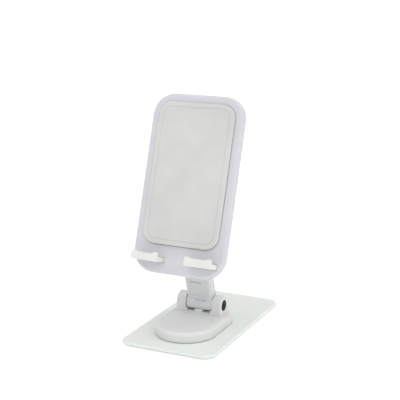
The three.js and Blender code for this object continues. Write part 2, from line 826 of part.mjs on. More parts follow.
piece(cradle, "cradle_front_shell", cradleFrontShell(), whitePlastic);
piece(cradle, "cradle_back_shell", cradleBackShell(), whitePlastic);
piece(cradle, "cradle_stiffener", cradleStiffener(), zincSteel);
piece(cradle, "hinge_bracket", hingeBracket(), whitePlastic);
piece(cradle, "front_pad", slab(frontPadOutline(0), "y", padFace, padInner, 0.6), paleSilicone);
for (const [side, word] of [[-1, "left"], [1, "right"]]) {
  piece(cradle, `hook_${word}`, hook(side), whitePlastic);
  piece(cradle, `hook_liner_${word}`, hookLinerForm(side, 0), paleSilicone);
}
shellScrewPlaces.forEach(([x, z], index) => {
  const screw = countersunkScrew("y", panelBack - 0.05, cavityFront + clearance).translate([x, 0, z]);
  piece(cradle, `shell_screw_${index + 1}`, screw, zincSteel);
});
bracketScrewPlaces.forEach(([x, z], index) => {
  const face = bracketBack - 0.05;
  const screw = countersunkScrew("y", face, bracketScrewTip, bracketScrewHead, bracketScrewRadius);
  piece(cradle, `bracket_screw_${index + 1}`, screw.translate([x, 0, z]), zincSteel);
});

export default stand;
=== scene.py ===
# Folding phone stand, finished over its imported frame. The cradle faces -Y, and each section's own
# sizes are in millimetres. A piece is put in its place in metres when it is made.
import json
import math

import bmesh
import bpy
from mathutils import Matrix, Vector


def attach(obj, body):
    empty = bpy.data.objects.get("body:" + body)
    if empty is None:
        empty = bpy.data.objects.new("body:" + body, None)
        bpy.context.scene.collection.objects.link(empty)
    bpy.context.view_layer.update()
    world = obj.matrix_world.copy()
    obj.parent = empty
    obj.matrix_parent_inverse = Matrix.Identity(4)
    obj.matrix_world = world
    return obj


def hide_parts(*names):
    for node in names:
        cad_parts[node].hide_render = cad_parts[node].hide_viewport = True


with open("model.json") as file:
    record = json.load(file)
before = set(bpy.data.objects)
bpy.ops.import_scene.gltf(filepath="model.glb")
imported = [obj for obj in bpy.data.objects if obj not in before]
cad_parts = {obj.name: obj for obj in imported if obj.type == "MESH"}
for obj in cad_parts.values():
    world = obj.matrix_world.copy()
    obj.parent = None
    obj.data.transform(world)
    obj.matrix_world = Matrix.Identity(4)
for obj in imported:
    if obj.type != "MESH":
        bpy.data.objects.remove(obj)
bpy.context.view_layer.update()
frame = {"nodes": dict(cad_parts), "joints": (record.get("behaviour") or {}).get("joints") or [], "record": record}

# ---- Base plate ----
# A flat steel plate with round corners, cut from sheet and eased all round, then powder coated
# satin white. It weighs the stand down, and the swivel's rivet is set through it.

STAND = Matrix.Identity(4)
TURN = {
    "x": lambda u, v, w: (w, u, v),
    "y": lambda u, v, w: (u, w, v),
    "z": lambda u, v, w: (u, v, w),
}


def extent(node, place=STAND):
    """Lowest and highest corner of a CAD node, in millimetres, in a place's own axes."""
    back = place.inverted()
    points = [back @ vertex.co for vertex in frame["nodes"][node].data.vertices]
    low = [min(point[axis] for point in points) * 1000 for axis in range(3)]
    high = [max(point[axis] for point in points) * 1000 for axis in range(3)]
    return low, high


def arc(x, y, radius, start, end, steps):
    """Points along an arc, its ends among them, between two angles in degrees."""
    angles = [math.radians(start + (end - start) * step / steps) for step in range(steps + 1)]
    return [(x + radius * math.cos(angle), y + radius * math.sin(angle)) for angle in angles]


def round_rectangle(x0, x1, y0, y1, radius, steps=14):
    """A rectangle's outline, anticlockwise, with its four corners rounded."""
    loop = arc(x1 - radius, y0 + radius, radius, -90, 0, steps)
    loop += arc(x1 - radius, y1 - radius, radius, 0, 90, steps)
    loop += arc(x0 + radius, y1 - radius, radius, 90, 180, steps)
    return loop + arc(x0 + radius, y0 + radius, radius, 180, 270, steps)


def drawn_in(loop, inset):
    """An anticlockwise loop with every side moved inwards."""
    moved = []
    for index, here in enumerate(loop):
        here = Vector(here)
        arriving = (here - Vector(loop[index - 1])).normalized()
        leaving = (Vector(loop[(index + 1) % len(loop)]) - here).normalized()
        inward = Vector((-arriving.y - leaving.y, arriving.x + leaving.x))
        moved.append(here + inward * inset / (1 + arriving.dot(leaving)))
    return moved


def stacked(name, loops, place):
    """A closed piece from loops of equal length, one after another, with flat ends."""
    shape = bmesh.new()
    rings = [[shape.verts.new(point) for point in loop] for loop in loops]
    for lower, upper in zip(rings, rings[1:]):
        for index in range(len(lower)):
            after = (index + 1) % len(lower)
            shape.faces.new((lower[index], lower[after], upper[after], upper[index]))
    shape.faces.new(rings[0][::-1])
    shape.faces.new(rings[-1])
    bmesh.ops.recalc_face_normals(shape, faces=shape.faces)
    bmesh.ops.transform(shape, matrix=place @ Matrix.Scale(0.001, 4), verts=shape.verts)
    mesh = bpy.data.meshes.new(name)
    shape.to_mesh(mesh)
    shape.free()
    piece = bpy.data.objects.new(name, mesh)
    bpy.context.scene.collection.objects.link(piece)
    return piece


def slab(name, loop, axis, low, high, ease_low=0.0, ease_high=0.0, place=STAND, steps=6):
    """An outline carried along an axis, with the rim of either end rounded by its ease."""
    levels = []
    for step in range(steps + 1) if ease_low else (steps,):
        angle = math.pi / 2 * step / steps
        rise = ease_low * (1 - math.cos(angle))
        levels.append((ease_low * (1 - math.sin(angle)), low + rise))
    for step in range(steps, -1, -1) if ease_high else (steps,):
        angle = math.pi / 2 * step / steps
        drop = ease_high * (1 - math.cos(angle))
        levels.append((ease_high * (1 - math.sin(angle)), high - drop))
    loops = []
    for inset, level in levels:
        drawn = drawn_in(loop, inset) if inset else loop
        loops.append([TURN[axis](point[0], point[1], level) for point in drawn])
    return stacked(name, loops, place)


def turned(name, profile, axis, place=STAND, sides=72):
    """A round piece from its radius at each level along an axis, with flat ends."""
    loops = []
    for radius, level in profile:
        ring = arc(0, 0, radius, 0, 360 - 360 / sides, sides - 1)
        loops.append([TURN[axis](u, v, level) for u, v in ring])
    return stacked(name, loops, place)


def settle(piece):
    """Turns a piece's modifiers into plain mesh."""
    bpy.context.view_layer.update()
    graph = bpy.context.evaluated_depsgraph_get()
    made = bpy.data.meshes.new_from_object(
        piece.evaluated_get(graph), preserve_all_data_layers=True, depsgraph=graph
    )
    piece.modifiers.clear()
    worn = piece.data
    piece.data = made
    bpy.data.meshes.remove(worn)


def work(piece, how, *others):
    """Joins, cuts or trims a piece with others, which are used up."""
    for other in others:
        step = piece.modifiers.new(how, "BOOLEAN")
        step.operation = how
        step.solver = "EXACT"
        step.object = other
        settle(piece)
        bpy.data.objects.remove(other)


def finished(piece, width, coat, body, slot, *nodes):
    """Eases a piece's sharp edges, coats it, and sets it on its body in place of its nodes."""
    touching = 4e-6
    shape = bmesh.new()
    shape.from_mesh(piece.data)
    bmesh.ops.remove_doubles(shape, verts=shape.verts, dist=touching)
    bmesh.ops.dissolve_degenerate(shape, dist=touching, edges=shape.edges)
    wide = [face for face in shape.faces if len(face.verts) > 4]
    bmesh.ops.triangulate(shape, faces=wide, ngon_method="BEAUTY")
    for face in shape.faces:
        face.smooth = True
    shape.to_mesh(piece.data)
    shape.free()
    if width:
        ease = piece.modifiers.new("ease", "BEVEL")
        ease.width = width / 1000
        ease.segments = 2
        ease.limit_method = "ANGLE"
        ease.angle_limit = math.radians(34)
        ease.use_clamp_overlap = False
        settle(piece)
    piece.data.set_sharp_from_angle(angle=math.radians(52))
    piece.modifiers.new("normals", "WEIGHTED_NORMAL").keep_sharp = True
    settle(piece)
    piece.data.materials.clear()
    piece.data.materials.append(coat)
    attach(piece, body)
    if nodes:
        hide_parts(*nodes)


def surface(name, light, dark, patch, rough, grain, depth, metal=0.0, specular=0.5):
    """A finish that varies softly over patches and has a fine grain, both sized in millimetres."""
    material = bpy.data.materials.new(name)
    material.use_nodes = True
    nodes = material.node_tree.nodes
    links = material.node_tree.links
    shader = nodes["Principled BSDF"]
    shader.inputs["Metallic"].default_value = metal
    shader.inputs["Specular IOR Level"].default_value = specular
    place = nodes.new("ShaderNodeTexCoord")
    broad = nodes.new("ShaderNodeTexNoise")
    broad.inputs["Scale"].default_value = 1000 / patch
    broad.inputs["Detail"].default_value = 4
    links.new(place.outputs["Object"], broad.inputs["Vector"])
    tone = nodes.new("ShaderNodeValToRGB")
    tone.color_ramp.elements[0].position = 0.35
    tone.color_ramp.elements[0].color = (*dark, 1)
    tone.color_ramp.elements[1].position = 0.65
    tone.color_ramp.elements[1].color = (*light, 1)
    links.new(broad.outputs["Fac"], tone.inputs["Fac"])
    links.new(tone.outputs["Color"], shader.inputs["Base Color"])
    rubbed = nodes.new("ShaderNodeTexNoise")
    rubbed.inputs["Scale"].default_value = 4000 / patch
    rubbed.inputs["Detail"].default_value = 6
    links.new(place.outputs["Object"], rubbed.inputs["Vector"])
    sheen = nodes.new("ShaderNodeMapRange")
    sheen.inputs["From Min"].default_value = 0.3
    sheen.inputs["From Max"].default_value = 0.7
    sheen.inputs["To Min"].default_value = rough[0]
    sheen.inputs["To Max"].default_value = rough[1]
    links.new(rubbed.outputs["Fac"], sheen.inputs["Value"])
    links.new(sheen.outputs["Result"], shader.inputs["Roughness"])
    fine = nodes.new("ShaderNodeTexNoise")
    fine.name = "grain"
    fine.inputs["Scale"].default_value = 1000 / grain
    fine.inputs["Detail"].default_value = 3
    links.new(place.outputs["Object"], fine.inputs["Vector"])
    relief = nodes.new("ShaderNodeBump")
    relief.name = "relief"
    relief.inputs["Distance"].default_value = depth / 1000
    relief.inputs["Strength"].default_value = 1
    links.new(fine.outputs["Fac"], relief.inputs["Height"])
    links.new(relief.outputs["Normal"], shader.inputs["Normal"])
    return material


powder_coat = surface(
    "powder_coat", (0.795, 0.835, 0.805), (0.77, 0.81, 0.78), 40, (0.32, 0.42), 1.1, 0.012
)
plate_low, plate_high = extent("base_plate")
joints = {joint["name"]: joint for joint in frame["joints"]}
pivot_x, pivot_y, _ = joints["base_swivel"]["pos_m"]
pivot = Matrix.Translation((pivot_x, pivot_y, 0))
plate_corner = 9
plate_rim_below, plate_rim_above = 0.5, 0.8
plate_outline = round_rectangle(
    plate_low[0], plate_high[0], plate_low[1], plate_high[1], plate_corner, 20
)
base_plate = slab(
    "base_plate_coated", plate_outline, "z", plate_low[2], plate_high[2],
    plate_rim_below, plate_rim_above,
)
rivet_room = [(6.2, 0), (6.2, 0.8), (4.2, 2), (4.15, 4)]
work(base_plate, "DIFFERENCE", turned("rivet_room", rivet_room, "z", pivot))
driver_place = pivot @ Matrix.Translation((0, -0.014, 0))
work(base_plate, "DIFFERENCE", turned("driver_hole", [(3, 0), (3, 4)], "z", driver_place))
finished(base_plate, 0.1, powder_coat, "base", "white_coat", "base_plate")

# ---- Grip pad ----
# A thin grey silicone sheet bonded under the plate. Its face is covered in small round grips,
# moulded in, which hold the stand on a smooth table.

grip_silicone = surface(
    "grip_silicone", (0.2, 0.205, 0.205), (0.17, 0.175, 0.175), 25, (0.65, 0.8), 0.4, 0.01
)
grips = grip_silicone.node_tree
dots = grips.nodes.new("ShaderNodeTexVoronoi")
dots.inputs["Scale"].default_value = 450
dots.inputs["Randomness"].default_value = 0
dot_height = grips.nodes.new("ShaderNodeMapRange")
dot_height.interpolation_type = "SMOOTHSTEP"
dot_height.inputs["From Min"].default_value = 0.25
dot_height.inputs["From Max"].default_value = 0.4
dot_height.inputs["To Min"].default_value = 1
dot_height.inputs["To Max"].default_value = 0
dot_relief = grips.nodes.new("ShaderNodeBump")
dot_relief.inputs["Distance"].default_value = 0.0002
dot_relief.inputs["Strength"].default_value = 1
grips.links.new(grips.nodes["Texture Coordinate"].outputs["Object"], dots.inputs["Vector"])
grips.links.new(dots.outputs["Distance"], dot_height.inputs["Value"])
grips.links.new(dot_height.outputs["Result"], dot_relief.inputs["Height"])
grips.links.new(grips.nodes["relief"].outputs["Normal"], dot_relief.inputs["Normal"])
grips.links.new(dot_relief.outputs["Normal"], grips.nodes["Principled BSDF"].inputs["Normal"])
grip_low, grip_high = extent("base_grip_pad")
grip_corner = 6
grip_outline = round_rectangle(
    grip_low[0], grip_high[0], grip_low[1], grip_high[1], grip_corner
)
grip_pad = slab("grip_pad_moulded", grip_outline, "z", grip_low[2], grip_high[2], 0.2, 0)
finished(grip_pad, 0, grip_silicone, "base", "grey_silicone", "base_grip_pad")

# ---- Swivel ----
# A steel rivet, its spring washer and its collar hold the pedestal's rotor plate down on a plastic
# slip ring. All but the ring are zinc plated. The hinges' hardware and the hidden steel strips take
# the same two finishes here.

zinc_plate = surface(
    "zinc_plate", (0.62, 0.64, 0.67), (0.5, 0.52, 0.54), 12, (0.28, 0.45), 0.5, 0.01, metal=1.0
)
slip_plastic = surface(
    "slip_plastic", (0.66, 0.62, 0.52), (0.6, 0.56, 0.46), 14, (0.4, 0.55), 0.3, 0.01
)
plated = ["swivel_rivet", "swivel_spring_washer", "swivel_collar", "rotor_plate"]
plated += ["lower_hinge_bolt", "lower_hinge_nut", "lower_hinge_disc_spring"]
plated += ["upper_hinge_bolt", "upper_hinge_nut", "upper_hinge_disc_spring"]
plated += ["arm_steel_strip", "cradle_stiffener"]
slippery = ["swivel_slip_ring", "lower_friction_washer_right", "lower_friction_washer_left"]
slippery += ["upper_friction_washer_right", "upper_friction_washer_left"]
for names, coat in ((plated, zinc_plate), (slippery, slip_plastic)):
    for name in names:
        for material_slot in frame["nodes"][name].material_slots:
            material_slot.material = coat

# ---- Pedestal ----
# An oblong shell with a round front end, moulded in white plastic with its two hinge ears and the
# low web between them. A short tick is cut in its top beside the ears, and the rotor plate is
# screwed up into it from below.

lower_hinge = Matrix.Translation(joints["arm_fold"]["pos_m"])
# Painted light: the pedestal's white plastic is made lighter than the arm's, to offset the shade the cradle above
# casts on its top.
moulded_white_lit = surface(
    "moulded_white_lit", (0.735, 0.74, 0.73), (0.71, 0.715, 0.705), 30, (0.38, 0.48), 0.35, 0.006
)
ear_radius = 7
ear_inner, ear_outer = 10.5, 17.5
past_ears = 19
bolt_hole = 2.15
cap_hole = 4.15


def brick(name, x0, x1, y0, y1, z0, z1, place=STAND):
    """A plain block between two levels on each axis, for cutting and joining."""
    loop = [(x0, y0), (x1, y0), (x1, y1), (x0, y1)]
    return slab(name, loop, "z", z0, z1, place=place)


def ear_pair(place, foot):
    """Both ears of a hinge, round about its axis, which is the place's own x."""
    rim = 0.3
    loop = [(-ear_radius, -foot), (ear_radius, -foot)] + arc(0, 0, ear_radius, 0, 180, 40)
    return [
        slab("ear", loop, "x", low, high, rim, rim, place)
        for low, high in ((ear_inner, ear_outer), (-ear_outer, -ear_inner))
    ]


def hinge_rooms(place):
    """What a hinge's bolt, nut, spring and caps take out of its ears."""
    nut_across = 7.4
    hexagon = arc(0, 0, nut_across / 2 / math.cos(math.pi / 6), 0, 300, 5)
    bolt_room = [(bolt_hole, -past_ears), (bolt_hole, past_ears)]
    head_room = [(cap_hole, 13.4), (cap_hole, past_ears)]
    cap_room = [(cap_hole, -past_ears), (cap_hole, -16.4)]
    return [
        turned("bolt_room", bolt_room, "x", place, 32),
        turned("head_room", head_room, "x", place, 64),
        turned("cap_room", cap_room, "x", place, 64),
        slab("nut_room", hexagon, "x", -past_ears, -14, place=place),
    ]


shell_low, shell_high = extent("pedestal_shell")
half_width = shell_high[0]
shell_top = 10
rear_corner = 9
oblong = arc(half_width - rear_corner, shell_high[1] - rear_corner, rear_corner, 0, 90, 14)
oblong += arc(rear_corner - half_width, shell_high[1] - rear_corner, rear_corner, 90, 180, 14)
oblong += arc(0, shell_low[1] + half_width, half_width, 180, 360, 72)
pedestal = slab("pedestal_moulded", oblong, "z", shell_low[2], shell_top, 0.3, 2.6, steps=10)
axis_z = lower_hinge.translation.z * 1000
work(pedestal, "UNION", *ear_pair(lower_hinge, axis_z - 5.5))
web_foot = shell_top - axis_z
slot_floor = web_foot + 1.3
slots_across = ((-9.2, -3), (3, 9.2))
web_outline = round_rectangle(-7, -3.5, web_foot - 0.5, -3.4, 0.3, 4)
web = slab("web", web_outline, "x", -10.9, 10.9, place=lower_hinge)
work(web, "DIFFERENCE", turned("knuckle_room", [(6.4, -12), (6.4, 12)], "x", lower_hinge, 96))
for x0, x1 in slots_across:
    work(web, "DIFFERENCE", brick("notch", x0, x1, -8, -2, slot_floor, 0, lower_hinge))
work(pedestal, "UNION", web)
work(pedestal, "DIFFERENCE", *hinge_rooms(lower_hinge))
work(pedestal, "DIFFERENCE", turned("rotor_room", [(19.2, 0), (19.2, 4.8)], "z", pivot, 96))
work(pedestal, "DIFFERENCE", turned("rivet_well", [(9.5, 0), (9.5, 7.7)], "z", pivot))
for screw in (1, 2, 3):
    low, high = extent(f"rotor_screw_{screw}")
    middle = Matrix.Translation(((low[0] + high[0]) / 2000, (low[1] + high[1]) / 2000, 0))
    work(pedestal, "DIFFERENCE", turned("screw_hole", [(1.4, 0), (1.4, 8.1)], "z", middle, 24))
tick_place = Matrix.Translation((0.0157, -0.019, 0)) @ Matrix.Rotation(math.radians(25), 4, "Z")
tick = brick("tick", -0.4, 0.4, -4, 4, shell_top - 0.6, shell_top + 1, tick_place)
work(pedestal, "DIFFERENCE", tick)
finished(pedestal, 0.12, moulded_white_lit, "pedestal", "white_plastic", "pedestal_shell")

# ---- Hinge caps ----
# Round black caps press into the outer faces of both hinges and hide the bolt and the nut. They are
# moulded glossy and slightly domed, and stand a little proud of the white plastic.

cap_gloss = surface(
    "cap_gloss", (0.008, 0.008, 0.009), (0.005, 0.005, 0.006), 6, (0.16, 0.26), 0.8, 0.003,
    specular=0.06,
)
upper_hinge = Matrix.Translation(joints["cradle_tilt"]["pos_m"])
cap_profile = [(4.0, 16.5), (4.0, 17.25), (3.95, 17.45), (3.8, 17.6), (3.55, 17.68)]
cap_profile += [(3.3, 17.62), (3.15, 17.56), (2.9, 17.6), (2.2, 17.68), (1.2, 17.74)]
cap_profile += [(0.4, 17.75)]
hinges = (("lower", lower_hinge, "pedestal"), ("upper", upper_hinge, "cradle"))
for height, place, body in hinges:
    for side, word in ((1, "right"), (-1, "left")):
        profile = [(radius, side * level) for radius, level in cap_profile]
        cap = turned(f"{height}_cap_{word}_domed", profile, "x", place, 64)
        finished(cap, 0, cap_gloss, body, "black_plastic", f"{height}_hinge_cap_{word}")

# ---- Arm ----
# A white plastic arm with a round knuckle at each end, hollow in front for a steel strip and closed
# by a cover. Two pockets are open low on the front of its lower knuckle, and a short mark is
# moulded in either piece.

reach = upper_hinge.translation - lower_hinge.translation
lean = math.atan2(-reach.y, reach.z)
arm_place = lower_hinge @ Matrix.Rotation(lean, 4, "X")
length = reach.length * 1000
arm_white = surface(
    "arm_white", (0.705, 0.715, 0.72), (0.68, 0.69, 0.695), 30, (0.38, 0.48), 0.35, 0.006
)
cover_low, cover_high = extent("arm_front_cover", arm_place)
arm_half, arm_front, arm_back = 10, -3.2, 5.4
arm_section = round_rectangle(-arm_half, arm_half, arm_front, arm_back, 2, 8)


def groove(x0, x1, dimples, height, back):
    """A short groove with round dimples, cut into the arm's front at a height."""
    mark = brick("groove", x0, x1, -8, back, height - 0.5, height + 0.5, arm_place)
    for x in dimples:
        spot = arm_place @ Matrix.Translation((x / 1000, 0, height / 1000))
        work(mark, "UNION", turned("dimple", [(0.9, -8.5), (0.9, back + 0.2)], "y", spot, 24))
    return mark


arm = slab("arm_moulded", arm_section, "z", 0, length, place=arm_place)
for height in (0, length):
    axle = arm_place @ Matrix.Translation((0, 0, height / 1000))
    barrel = [(5.8, -10.2), (6.2, -9.8), (6.2, 9.8), (5.8, 10.2)]
    work(arm, "UNION", turned("knuckle", barrel, "x", axle, 96))
    bore = turned("bore", [(bolt_hole, -12), (bolt_hole, 12)], "x", axle, 32)
    work(arm, "DIFFERENCE", bore)
    for low, high in ((9.5, 12), (-12, -9.5)):
        room = turned("washer_room", [(4.8, low), (4.8, high)], "x", axle, 48)
        work(arm, "DIFFERENCE", room)
cover_ends = (cover_low[2] - 0.1, cover_high[2] + 0.1)
work(arm, "DIFFERENCE", brick("cover_room", -11, 11, -8, -0.8, *cover_ends, arm_place))
strip_ends = (cover_low[2] + 1.9, cover_high[2] - 1.9)
work(arm, "DIFFERENCE", brick("strip_room", -7, 7, -2, 3.4, *strip_ends, arm_place))
for x0, x1 in slots_across:
    work(arm, "DIFFERENCE", brick("pocket", x0, x1, -8, arm_front, -4.7, -1.6, arm_place))
work(arm, "DIFFERENCE", groove(-3, 4, (-3, 4), 4.9, -3))
arm_screw_heights = []
for screw in (1, 2):
    low, high = extent(f"arm_screw_{screw}", arm_place)
    arm_screw_heights.append((low[2] + high[2]) / 2)
    spot = arm_place @ Matrix.Translation((0, 0, arm_screw_heights[-1] / 1000))
    screw_room = turned("screw_room", [(1.4, -1.2), (1.4, 4.1), (2.5, 5), (2.5, 7)], "y", spot, 32)
    work(arm, "DIFFERENCE", screw_room)
finished(arm, 0.07, arm_white, "arm", "white_plastic", "arm_body")

cover = slab("arm_cover_moulded", arm_section, "z", cover_low[2], cover_high[2], place=arm_place)
work(cover, "INTERSECT", brick("cover_side", -11, 11, -8, -1, 0, length, arm_place))
for height in arm_screw_heights:
    spot = arm_place @ Matrix.Translation((0, 0, height / 1000))
    work(cover, "UNION", turned("boss", [(2.6, -1.5), (2.6, 1.6)], "y", spot, 32))
    work(cover, "DIFFERENCE", turned("boss_hole", [(1.4, -1.2), (1.4, 3)], "y", spot, 24))
work(cover, "DIFFERENCE", groove(-4.5, 3, (-4.5,), 19.7, -2.5))
finished(cover, 0.12, arm_white, "arm", "white_plastic", "arm_front_cover")

# ---- Cradle shells ----
# The leaning panel is two white moulded shells, screwed together inside their rim, with a thin line
# where they meet. The front one has a shallow recess for the pad and two slots for the hooks.

rest_face = next(m for m in frame["record"]["mounts"] if m["name"] == "phone_face")["axis"]
cradle_place = upper_hinge @ Matrix.Rotation(-math.atan2(rest_face[2], -rest_face[1]), 4, "X")
# Painted shade: this copy of the white plastic is darkened and tinted lilac, as if the panel stood in a phone's
# shadow.
cradle_white_shaded = surface(
    "cradle_white_shaded", (0.66, 0.65, 0.69), (0.635, 0.625, 0.665), 45, (0.4, 0.5), 0.35, 0.006,
    specular=0.3,
)
front_low, front_high = extent("cradle_front_shell", cradle_place)
back_low, back_high = extent("cradle_back_shell", cradle_place)
pad_low, pad_high = extent("front_pad", cradle_place)
panel_corner, panel_wall = 16, 3
panel_rim_front, panel_rim_back = 2.2, 2.25
panel = round_rectangle(
    front_low[0], front_high[0], front_low[2], front_high[2], panel_corner, 20
)
inside = drawn_in(panel, panel_wall)
pad_corner, pad_gap = 10, 0.2
recess = round_rectangle(
    pad_low[0] - pad_gap, pad_high[0] + pad_gap,
    pad_low[2] - pad_gap, pad_high[2] + pad_gap, pad_corner + pad_gap,
)


def middle_of(node, place):
    """The x and z of a node's middle, in a place's own axes."""
    low, high = extent(node, place)
    return (low[0] + high[0]) / 2, (low[2] + high[2]) / 2


def across(x, z):
    """A place on the cradle whose own y still runs from front to back."""
    return cradle_place @ Matrix.Translation((x / 1000, 0, z / 1000))


shell_screws = [middle_of(f"shell_screw_{screw}", cradle_place) for screw in (1, 2, 3, 4)]
bracket_screws = [middle_of(f"bracket_screw_{screw}", cradle_place) for screw in (1, 2, 3, 4)]
hooks = {word: extent(f"hook_{word}", cradle_place) for word in ("left", "right")}
slot_top = extent("hook_liner_left", cradle_place)[1][2]


def panel_half(name, y0, y1):
    """The panel between two levels, front to back."""
    rims = (panel_rim_front, panel_rim_back)
    half = slab(name, panel, "y", front_low[1], back_high[1], *rims, cradle_place)
    work(half, "INTERSECT", brick("half", -50, 50, y0, y1, -50, 120, cradle_place))
    return half


face, joint_face = front_low[1], front_high[1]
front_shell = panel_half("cradle_front_moulded", -30, joint_face)
work(front_shell, "DIFFERENCE", slab("room", inside, "y", face + 1.8, -5, place=cradle_place))
for x, z in shell_screws:
    post = turned("post", [(3, face + 1.3), (3, joint_face)], "y", across(x, z), 32)
    work(front_shell, "UNION", post)
    hole = [(1.4, face + 1.9), (1.4, joint_face + 1)]
    work(front_shell, "DIFFERENCE", turned("post_hole", hole, "y", across(x, z), 24))
pad_room = slab("pad_room", recess, "y", -30, pad_high[1] + 0.2, place=cradle_place)
work(front_shell, "DIFFERENCE", pad_room)
for low, high in hooks.values():
    sides = (low[0] - 0.2, high[0] + 0.2)
    slot_room = brick("slot", *sides, -30, -13, low[2] - 0.2, slot_top, cradle_place)
    work(front_shell, "DIFFERENCE", slot_room)
finished(front_shell, 0.2, cradle_white_shaded, "cradle", "white_plastic", "cradle_front_shell")

back_shell = panel_half("cradle_back_moulded", back_low[1], 0)
face = back_high[1]
screw_room = [(1.4, face - 4), (1.4, face - 1.3), (2.5, face - 0.4), (2.5, face + 1)]
for x, z in shell_screws:
    work(back_shell, "DIFFERENCE", turned("screw_room", screw_room, "y", across(x, z), 32))
for x, z in bracket_screws:
    hole = turned("hole", [(1.65, -14), (1.65, -5)], "y", across(x, z), 24)
    work(back_shell, "DIFFERENCE", hole)
finished(back_shell, 0.2, cradle_white_shaded, "cradle", "white_plastic", "cradle_back_shell")

# ---- Hinge bracket ----
# A white moulded plate with two ears, screwed through the back shell to the steel stiffener inside.
# It carries the cradle on the arm's upper knuckle.

bracket_low, bracket_high = extent("hinge_bracket", cradle_place)
seat = bracket_low[1]
bracket_corner = 5
face = seat + 3
bracket_outline = round_rectangle(
    bracket_low[0], bracket_high[0], bracket_low[2], bracket_high[2], bracket_corner
)
bracket = slab("bracket_moulded", bracket_outline, "y", seat, face, 0, 0.9, cradle_place)
upright = cradle_place @ Matrix.Rotation(math.radians(-90), 4, "X")
work(bracket, "UNION", *ear_pair(upright, -seat - 0.5))
work(bracket, "DIFFERENCE", *hinge_rooms(cradle_place))
screw_room = [(1.65, face - 4), (1.65, face - 1.3), (3, face - 0.4), (3, face + 1)]
for x, z in bracket_screws:
    work(bracket, "DIFFERENCE", turned("screw_room", screw_room, "y", across(x, z), 32))
# The bracket takes the same darkened white, with its painted shade.
finished(bracket, 0.12, cradle_white_shaded, "cradle", "white_plastic", "hinge_bracket")

# ---- Front pad ----
# A pale grey silicone pad, moulded solid and bonded into the front shell's recess. Its rim is
# rounded, a fine groove runs inside it, and the phone's back leans on its matte face.

pad_silicone = surface(
    "pad_silicone", (0.66, 0.66, 0.65), (0.61, 0.61, 0.6), 22, (0.6, 0.75), 0.3, 0.012
)
pad_outline = round_rectangle(
    pad_low[0], pad_high[0], pad_low[2], pad_high[2], pad_corner, 18
)
front_pad = slab(
    "front_pad_moulded", pad_outline, "y", pad_low[1], pad_high[1], 0.8, 0, cradle_place
)
groove_outer, groove_inner = drawn_in(pad_outline, 3.2), drawn_in(pad_outline, 4)
trench = slab("trench", groove_outer, "y", -30, pad_low[1] + 0.25, place=cradle_place)
island = slab("island", groove_inner, "y", -31, pad_low[1] + 1, place=cradle_place)
work(trench, "DIFFERENCE", island)
work(front_pad, "DIFFERENCE", trench)
finished(front_pad, 0.1, pad_silicone, "cradle", "pale_silicone", "front_pad")

# ---- Hooks and their liners ----
# Each hook is a moulded shelf that passes through the front shell and ends in a low lip with a
# raised bump at either end. A thin ribbed silicone liner on the shelf takes the phone's lower edge.

hook_white = surface(
    "hook_white", (0.8, 0.795, 0.77), (0.775, 0.77, 0.745), 16, (0.34, 0.44), 0.3, 0.006
)
liner_silicone = surface(
    "liner_silicone", (0.66, 0.66, 0.65), (0.61, 0.61, 0.6), 12, (0.6, 0.75), 0.3, 0.01
)
ribs = liner_silicone.node_tree
rib = ribs.nodes.new("ShaderNodeTexWave")
rib.inputs["Scale"].default_value = 260
rib_relief = ribs.nodes.new("ShaderNodeBump")
rib_relief.inputs["Distance"].default_value = 0.00015
rib_relief.inputs["Strength"].default_value = 1
ribs.links.new(ribs.nodes["Texture Coordinate"].outputs["Object"], rib.inputs["Vector"])
ribs.links.new(rib.outputs["Fac"], rib_relief.inputs["Height"])
ribs.links.new(ribs.nodes["relief"].outputs["Normal"], rib_relief.inputs["Normal"])
ribs.links.new(rib_relief.outputs["Normal"], ribs.nodes["Principled BSDF"].inputs["Normal"])

hook_root = -14.1
lip_depth, lip_rise = 2.6, 2.1
for word, (low, high) in hooks.items():
    liner_low, liner_high = extent(f"hook_liner_{word}", cradle_place)
    shelf_top = liner_high[2] - 0.2
    outer = low[1]
    inner = outer + lip_depth
    lip_top = shelf_top + lip_rise
    profile = [(hook_root, low[2]), (hook_root, shelf_top)]
    profile += arc(inner + 0.5, shelf_top + 0.5, 0.5, 270, 180, 4)
    profile += arc(inner - 0.7, lip_top - 0.7, 0.7, 0, 90, 6)
    profile += arc(outer + 1.2, lip_top - 1.2, 1.2, 90, 180, 8)
    profile += arc(outer + 1.5, low[2] + 1.5, 1.5, 180, 270, 8)
    hook = slab(f"hook_{word}_moulded", profile, "x", low[0], high[0], 0.35, 0.35, cradle_place, 4)
    bump_side = round_rectangle(outer + 0.3, inner - 0.2, lip_top - 1, lip_top + 0.8, 0.7, 6)
    for x in (low[0], high[0] - 3.8):
        bump = slab("bump", bump_side, "x", x + 0.05, x + 3.75, 0.5, 0.5, cradle_place, 4)
        work(hook, "UNION", bump)
    middle = (low[0] + high[0]) / 2
    foot = (middle - 6.5, middle + 6.5, high[1] - 1.6, high[1], low[2] + 0.05, shelf_top + 3.5)
    work(hook, "UNION", brick("foot", *foot, cradle_place))
    bed_outline = round_rectangle(
        liner_low[0] - 0.1, liner_high[0] + 0.1, liner_low[1] - 0.1, liner_high[1] + 0.1, 1.2, 6
    )
    bed_levels = (liner_low[2] - 0.1, liner_high[2] + 1)
    work(hook, "DIFFERENCE", slab("bed", bed_outline, "z", *bed_levels, place=cradle_place))
    finished(hook, 0.15, hook_white, "cradle", "white_plastic", f"hook_{word}")
    strip = round_rectangle(liner_low[0], liner_high[0], liner_low[1], liner_high[1], 1.1, 8)
    liner_name = f"hook_liner_{word}_ribbed"
    liner = slab(liner_name, strip, "z", liner_low[2], liner_high[2], 0, 0.2, cradle_place, 4)
    finished(liner, 0, liner_silicone, "cradle", "pale_silicone", f"hook_liner_{word}")

# ---- Screws ----
# Countersunk cross-recess screws, zinc plated. They close the cradle's shells, fix the hinge
# bracket and the arm's cover, and hold the rotor plate up in the pedestal.


